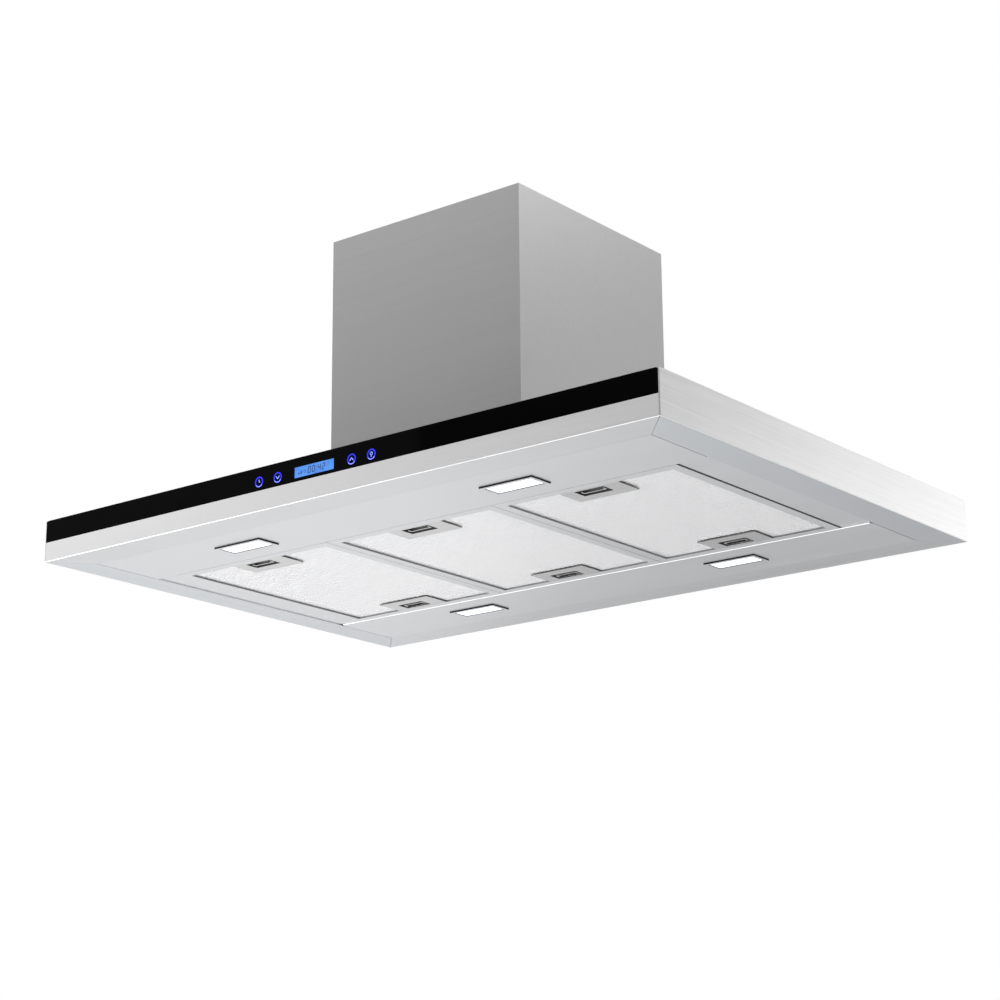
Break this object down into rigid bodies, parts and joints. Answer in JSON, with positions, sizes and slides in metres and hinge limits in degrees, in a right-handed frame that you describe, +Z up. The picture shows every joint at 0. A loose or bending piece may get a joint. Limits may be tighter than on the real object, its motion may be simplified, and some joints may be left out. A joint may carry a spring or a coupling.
{
  "type": "island range hood",
  "caption": "Flat steel island cooker hood with glass touch strip, drop-down mesh grease filters, rectangular lamps, blower with flaps and telescopic square chimney.",
  "frame": {"origin": "centre of the canopy's underside", "axes": "+Z up, towards the ceiling; -Y towards the control strip; +X to the right of a person facing the controls"},
  "size_m": [0.9, 0.634, 0.39],
  "materials": {
    "steel_fascia": "brushed along the length",
    "steel_side": "brushed along the depth",
    "steel_top": "brushed",
    "steel_panel": "fine satin",
    "steel_chimney": "fine horizontal brushing",
    "galvanised": "galvanised sheet",
    "black_glass": "polished toughened glass, printed black behind",
    "black_plastic": "moulded",
    "circuit_board": "printed circuit board",
    "display": "backlit liquid crystal",
    "light_guide": "lit light guide",
    "lamp_bezel": "satin",
    "lamp_lens": "opal diffuser, lit",
    "filter_frame": "satin anodised",
    "filter_mesh": "expanded mesh",
    "latch_metal": "satin",
    "fan_plastic": "moulded",
    "motor_metal": "cast and painted",
    "zinc_screw": "zinc plated"
  },
  "bodies": {
    "hood": {"front_fascia": "steel_fascia", "rear_fascia": "steel_fascia", "left_side": "steel_side", "right_side": "steel_side", "canopy_top": "steel_top", "front_lamp_panel": "steel_panel", "rear_lamp_panel": "steel_panel", "left_strip": "steel_panel", "right_strip": "steel_panel", "front_rail": "galvanised", "rear_rail": "galvanised", "glass_panel": "black_glass", "control_housing": "black_plastic", "touch_board": "circuit_board", "display_module": "display", "touch_pads": "light_guide", "lamp_boards": "circuit_board", "blower_housing": "galvanised", "motor": "motor_metal", "motor_mount": "galvanised", "inlet_guard": "galvanised", "motor_capacitor": "fan_plastic", "terminal_box": "black_plastic", "blower_brackets": "galvanised", "outlet_collar": "black_plastic", "lower_chimney": "steel_chimney", "lower_posts": "galvanised", "clamp_screws": "zinc_screw", "lamp_bezel_front_left": "lamp_bezel", "lamp_lens_front_left": "lamp_lens", "lamp_bezel_front_right": "lamp_bezel", "lamp_lens_front_right": "lamp_lens", "lamp_bezel_rear_left": "lamp_bezel", "lamp_lens_rear_left": "lamp_lens", "lamp_bezel_rear_right": "lamp_bezel", "lamp_lens_rear_right": "lamp_lens"},
    "filter_1": {"filter_frame_1": "filter_frame", "filter_mesh_1": "filter_mesh", "latch_plates_1": "latch_metal"},
    "front_latch_1": {"latch_slider_front_1": "latch_metal"},
    "rear_latch_1": {"latch_slider_rear_1": "latch_metal"},
    "filter_2": {"filter_frame_2": "filter_frame", "filter_mesh_2": "filter_mesh", "latch_plates_2": "latch_metal"},
    "front_latch_2": {"latch_slider_front_2": "latch_metal"},
    "rear_latch_2": {"latch_slider_rear_2": "latch_metal"},
    "filter_3": {"filter_frame_3": "filter_frame", "filter_mesh_3": "filter_mesh", "latch_plates_3": "latch_metal"},
    "front_latch_3": {"latch_slider_front_3": "latch_metal"},
    "rear_latch_3": {"latch_slider_rear_3": "latch_metal"},
    "fan": {"impeller": "fan_plastic"},
    "left_flap": {"flap_left": "black_plastic"},
    "right_flap": {"flap_right": "black_plastic"},
    "ceiling_frame": {"upper_posts": "galvanised", "ceiling_plate": "galvanised", "upper_chimney": "steel_chimney"}
  },
  "joints": [
    {"name": "filter_1_drop", "type": "hinge", "parent": "hood", "child": "filter_1", "pos_m": [-0.253, 0.1676, 0.0003], "axis": [1, 0, 0], "range_deg": [0, 75]},
    {"name": "front_latch_1_pull", "type": "slide", "parent": "filter_1", "child": "front_latch_1", "axis": [0, 1, 0], "range_m": [0, 0.006], "stiffness_N_per_m": 400, "springref_m": -0.004},
    {"name": "rear_latch_1_pull", "type": "slide", "parent": "filter_1", "child": "rear_latch_1", "axis": [0, -1, 0], "range_m": [0, 0.006], "stiffness_N_per_m": 400, "springref_m": -0.004},
    {"name": "filter_2_drop", "type": "hinge", "parent": "hood", "child": "filter_2", "pos_m": [-0.005, 0.1676, 0.0003], "axis": [1, 0, 0], "range_deg": [0, 75]},
    {"name": "front_latch_2_pull", "type": "slide", "parent": "filter_2", "child": "front_latch_2", "axis": [0, 1, 0], "range_m": [0, 0.006], "stiffness_N_per_m": 400, "springref_m": -0.004},
    {"name": "rear_latch_2_pull", "type": "slide", "parent": "filter_2", "child": "rear_latch_2", "axis": [0, -1, 0], "range_m": [0, 0.006], "stiffness_N_per_m": 400, "springref_m": -0.004},
    {"name": "filter_3_drop", "type": "hinge", "parent": "hood", "child": "filter_3", "pos_m": [0.243, 0.1676, 0.0003], "axis": [1, 0, 0], "range_deg": [0, 75]},
    {"name": "front_latch_3_pull", "type": "slide", "parent": "filter_3", "child": "front_latch_3", "axis": [0, 1, 0], "range_m": [0, 0.006], "stiffness_N_per_m": 400, "springref_m": -0.004},
    {"name": "rear_latch_3_pull", "type": "slide", "parent": "filter_3", "child": "rear_latch_3", "axis": [0, -1, 0], "range_m": [0, 0.006], "stiffness_N_per_m": 400, "springref_m": -0.004},
    {"name": "fan_spin", "type": "hinge", "parent": "hood", "child": "fan", "pos_m": [0, 0.0035, 0.173], "axis": [1, 0, 0], "continuous": true},
    {"name": "left_flap_lift", "type": "hinge", "parent": "hood", "child": "left_flap", "pos_m": [-0.0036, 0, 0.279], "axis": [0, 1, 0], "range_deg": [0, 78]},
    {"name": "right_flap_lift", "type": "hinge", "parent": "hood", "child": "right_flap", "pos_m": [0.0036, 0, 0.279], "axis": [0, -1, 0], "range_deg": [0, 78]},
    {"name": "chimney_extend", "type": "slide", "parent": "hood", "child": "ceiling_frame", "axis": [0, 0, 1], "range_m": [0, 0.25]}
  ]
}
